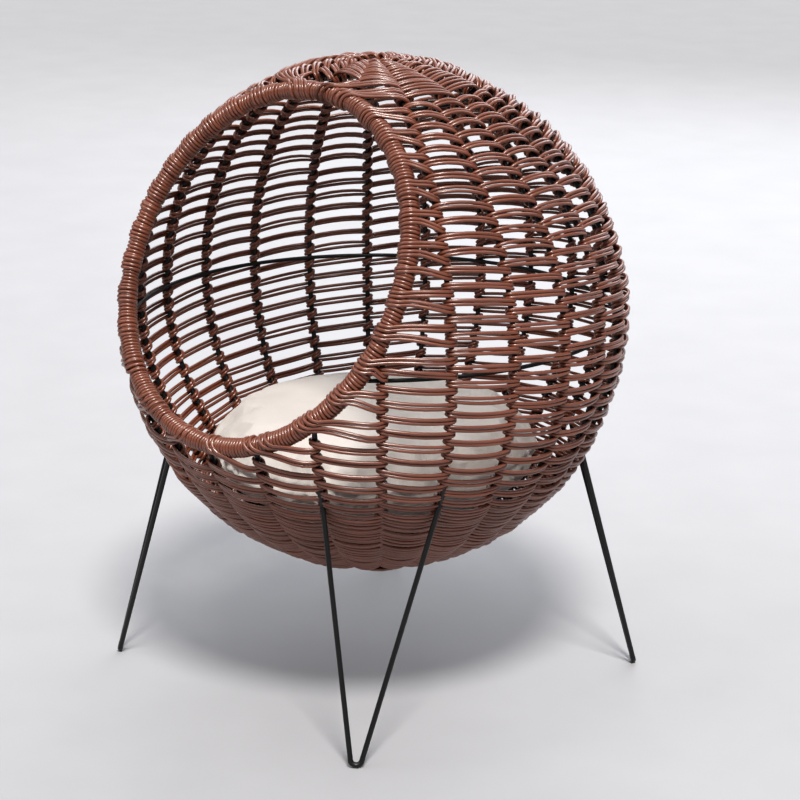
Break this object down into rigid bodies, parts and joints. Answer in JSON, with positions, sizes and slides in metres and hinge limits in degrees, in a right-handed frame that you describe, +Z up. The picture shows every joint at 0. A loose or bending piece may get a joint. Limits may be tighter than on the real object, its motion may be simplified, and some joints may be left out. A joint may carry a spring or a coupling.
{
  "type": "wicker pet bed basket",
  "caption": "Ball-shaped woven pet basket with a round tilted mouth, a loose round cushion and black hairpin legs.",
  "frame": {"origin": "on the floor under the middle of the ball", "axes": "+Z up; the mouth faces -Y; +X is to the right of someone looking into the mouth"},
  "size_m": [0.5, 0.4885, 0.62],
  "materials": {
    "black_steel": "satin black powder coat",
    "brown_strand": "semi-gloss extruded round strand",
    "cushion_plush": "short plush",
    "cushion_fibre": "soft polyester fibre"
  },
  "bodies": {
    "basket": {"rim_tube": "black_steel", "middle_ring": "black_steel", "crown_ring": "black_steel", "base_ring": "black_steel", "crown_hub_ring": "black_steel", "base_hub_ring": "black_steel", "rib_05": "black_steel", "rib_06": "black_steel", "rib_07": "black_steel", "rib_08": "black_steel", "rib_09": "black_steel", "rib_10": "black_steel", "rib_11": "black_steel", "rib_12": "black_steel", "rib_13": "black_steel", "rib_14": "black_steel", "rib_15": "black_steel", "rib_16": "black_steel", "rib_17": "black_steel", "rib_18": "black_steel", "rib_19": "black_steel", "rib_20": "black_steel", "rib_21": "black_steel", "upper_rib_01": "black_steel", "upper_rib_03": "black_steel", "upper_rib_04": "black_steel", "upper_rib_22": "black_steel", "upper_rib_23": "black_steel", "lower_rib_01": "black_steel", "lower_rib_02": "black_steel", "lower_rib_03": "black_steel", "lower_rib_04": "black_steel", "lower_rib_22": "black_steel", "lower_rib_23": "black_steel", "lower_rib_24": "black_steel", "front_right_leg": "black_steel", "back_right_leg": "black_steel", "back_left_leg": "black_steel", "front_left_leg": "black_steel", "rim_wrap": "brown_strand", "crown_weave": "brown_strand", "shoulder_weave": "brown_strand", "upper_wall_weave": "brown_strand", "lower_wall_weave": "brown_strand", "bowl_weave": "brown_strand", "base_weave": "brown_strand"},
    "cushion": {"cushion_top_cover": "cushion_plush", "cushion_bottom_cover": "cushion_plush", "cushion_filling": "cushion_fibre"}
  },
  "joints": [
    {"name": "cushion_lift", "type": "slide", "parent": "basket", "child": "cushion", "axis": [0, 0, 1], "range_m": [0, 0.12]}
  ]
}
